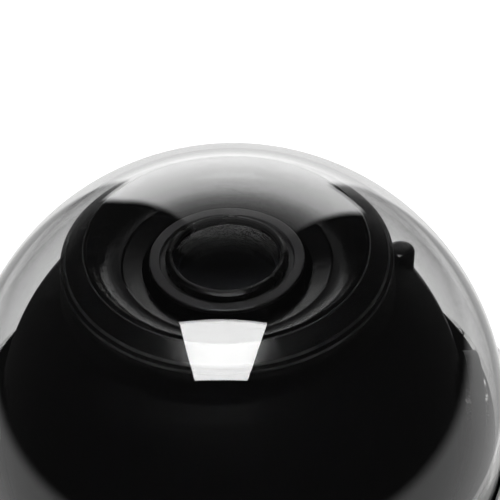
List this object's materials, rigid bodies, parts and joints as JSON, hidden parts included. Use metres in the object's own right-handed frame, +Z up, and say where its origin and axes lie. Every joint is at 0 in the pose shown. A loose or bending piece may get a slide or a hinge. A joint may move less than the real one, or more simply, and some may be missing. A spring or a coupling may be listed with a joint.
{
  "type": "ptz camera",
  "caption": "Dome security camera: a black eyeball pans on a turntable and tilts in a yoke under a clear dome, on a round white base that bolts to a ceiling or shelf.",
  "frame": {"origin": "centre of the mounting plate's underside, the flat face that the camera rests on or is bolted to", "axes": "+Z up along the pan axis; the lens looks along +Z at rest; X is the tilt axis; the network jack faces +Y"},
  "size_m": [0.168, 0.168, 0.182],
  "materials": {
    "housing_white": "satin moulded plastic",
    "ring_white": "satin powder coat",
    "dome_clear": "polished clear polycarbonate, slightly smoked",
    "liner_black": "fine matt texture",
    "ball_black": "satin gloss moulded",
    "cup_black": "satin gloss moulded",
    "barrel_black": "satin anodised look",
    "ring_grey": "satin grey",
    "retainer_black": "semi-gloss",
    "front_glass": "coated optical glass",
    "inner_glass": "coated optical glass",
    "frame_metal": "brushed",
    "plate_steel": "zinc plated",
    "screw_steel": "bright",
    "screw_black": "black oxide",
    "bearing_steel": "ground steel",
    "gear_plastic": "acetal",
    "gear_brass": "machined",
    "motor_steel": "drawn can",
    "board_green": "solder mask",
    "chip_black": "moulded packages",
    "jack_metal": "tinned shield",
    "rubber_black": "soft",
    "slip_ring_grey": "moulded",
    "sensor_face": "sensor window",
    "light_pipe": "clear acrylic",
    "button_grey": "moulded",
    "filter_glass": "infrared-cut coating"
  },
  "bodies": {
    "base": {"mounting_plate": "plate_steel", "plate_lock_screws": "screw_steel", "base_housing": "housing_white", "cable_grommet": "rubber_black", "dome_gasket": "rubber_black", "dome_ring": "ring_white", "dome_ring_screws": "screw_steel", "clear_dome": "dome_clear", "inner_liner": "liner_black", "chassis_plate": "frame_metal", "chassis_standoffs": "gear_brass", "chassis_screws": "screw_steel", "pan_bearing_outer": "bearing_steel", "pan_bearing_balls": "bearing_steel", "pan_bearing_clamp": "frame_metal", "pan_motor": "motor_steel", "pan_motor_screws": "screw_steel", "main_board": "board_green", "main_board_components": "chip_black", "board_standoffs": "gear_brass", "network_jack": "jack_metal", "status_light_pipe": "light_pipe", "slip_ring_stator": "slip_ring_grey", "pan_home_sensor": "chip_black"},
    "pan_turret": {"turntable": "frame_metal", "pan_gear": "gear_plastic", "turret_screws": "screw_steel", "pan_bearing_inner": "bearing_steel", "yoke_frame": "liner_black", "slip_ring_rotor": "slip_ring_grey", "tilt_axle_left": "screw_steel", "tilt_axle_right": "screw_steel", "tilt_sun_gear": "gear_plastic"},
    "head": {"head_front_cover": "ball_black", "cover_post": "ball_black", "head_rear_cover": "ball_black", "head_cover_screws": "screw_black", "lens_cup": "cup_black", "head_frame": "frame_metal", "tilt_bushes": "gear_brass", "block_posts": "gear_brass", "tilt_motor": "motor_steel", "camera_block_body": "barrel_black", "lens_guide_rods": "bearing_steel", "sensor_board": "board_green", "image_sensor": "sensor_face", "lens_barrel": "barrel_black", "lens_front_ring": "ring_grey", "lens_retaining_ring": "retainer_black", "front_lens_glass": "front_glass", "second_lens": "inner_glass"},
    "pan_pinion": {"pan_pinion": "gear_brass"},
    "tilt_pinion": {"tilt_pinion": "gear_brass"},
    "zoom_group": {"zoom_group": "liner_black", "zoom_lens": "inner_glass"},
    "focus_group": {"focus_group": "liner_black", "focus_lens": "inner_glass"},
    "ir_filter": {"ir_filter_carriage": "gear_plastic", "ir_filter_glass": "filter_glass"},
    "reset_button": {"reset_button": "button_grey"}
  },
  "joints": [
    {"name": "pan", "type": "hinge", "parent": "base", "child": "pan_turret", "pos_m": [0, 0, 0.112], "axis": [0, 0, 1], "continuous": true},
    {"name": "tilt", "type": "hinge", "parent": "pan_turret", "child": "head", "pos_m": [0, 0, 0.112], "axis": [1, 0, 0], "range_deg": [-90, 90]},
    {"name": "pan_pinion_spin", "type": "hinge", "parent": "base", "child": "pan_pinion", "pos_m": [0.0512, 0, 0.043], "axis": [0, 0, 1], "continuous": true},
    {"name": "tilt_pinion_spin", "type": "hinge", "parent": "head", "child": "tilt_pinion", "pos_m": [-0.046, 0, 0.0952], "axis": [1, 0, 0], "range_deg": [-226, 226]},
    {"name": "zoom", "type": "slide", "parent": "head", "child": "zoom_group", "axis": [0, 0, 1], "range_m": [0, 0.014]},
    {"name": "focus", "type": "slide", "parent": "head", "child": "focus_group", "axis": [0, 0, 1], "range_m": [0, 0.006]},
    {"name": "ir_filter_shift", "type": "slide", "parent": "head", "child": "ir_filter", "axis": [0, 1, 0], "range_m": [0, 0.01]},
    {"name": "reset_press", "type": "slide", "parent": "base", "child": "reset_button", "axis": [0, -1, 0], "range_m": [0, 0.0006], "stiffness_N_per_m": 800}
  ],
  "couplings": [
    {"joint": "pan_pinion_spin", "follows": "pan", "ratio": -6.1111},
    {"joint": "tilt_pinion_spin", "follows": "tilt", "ratio": 2.5}
  ]
}
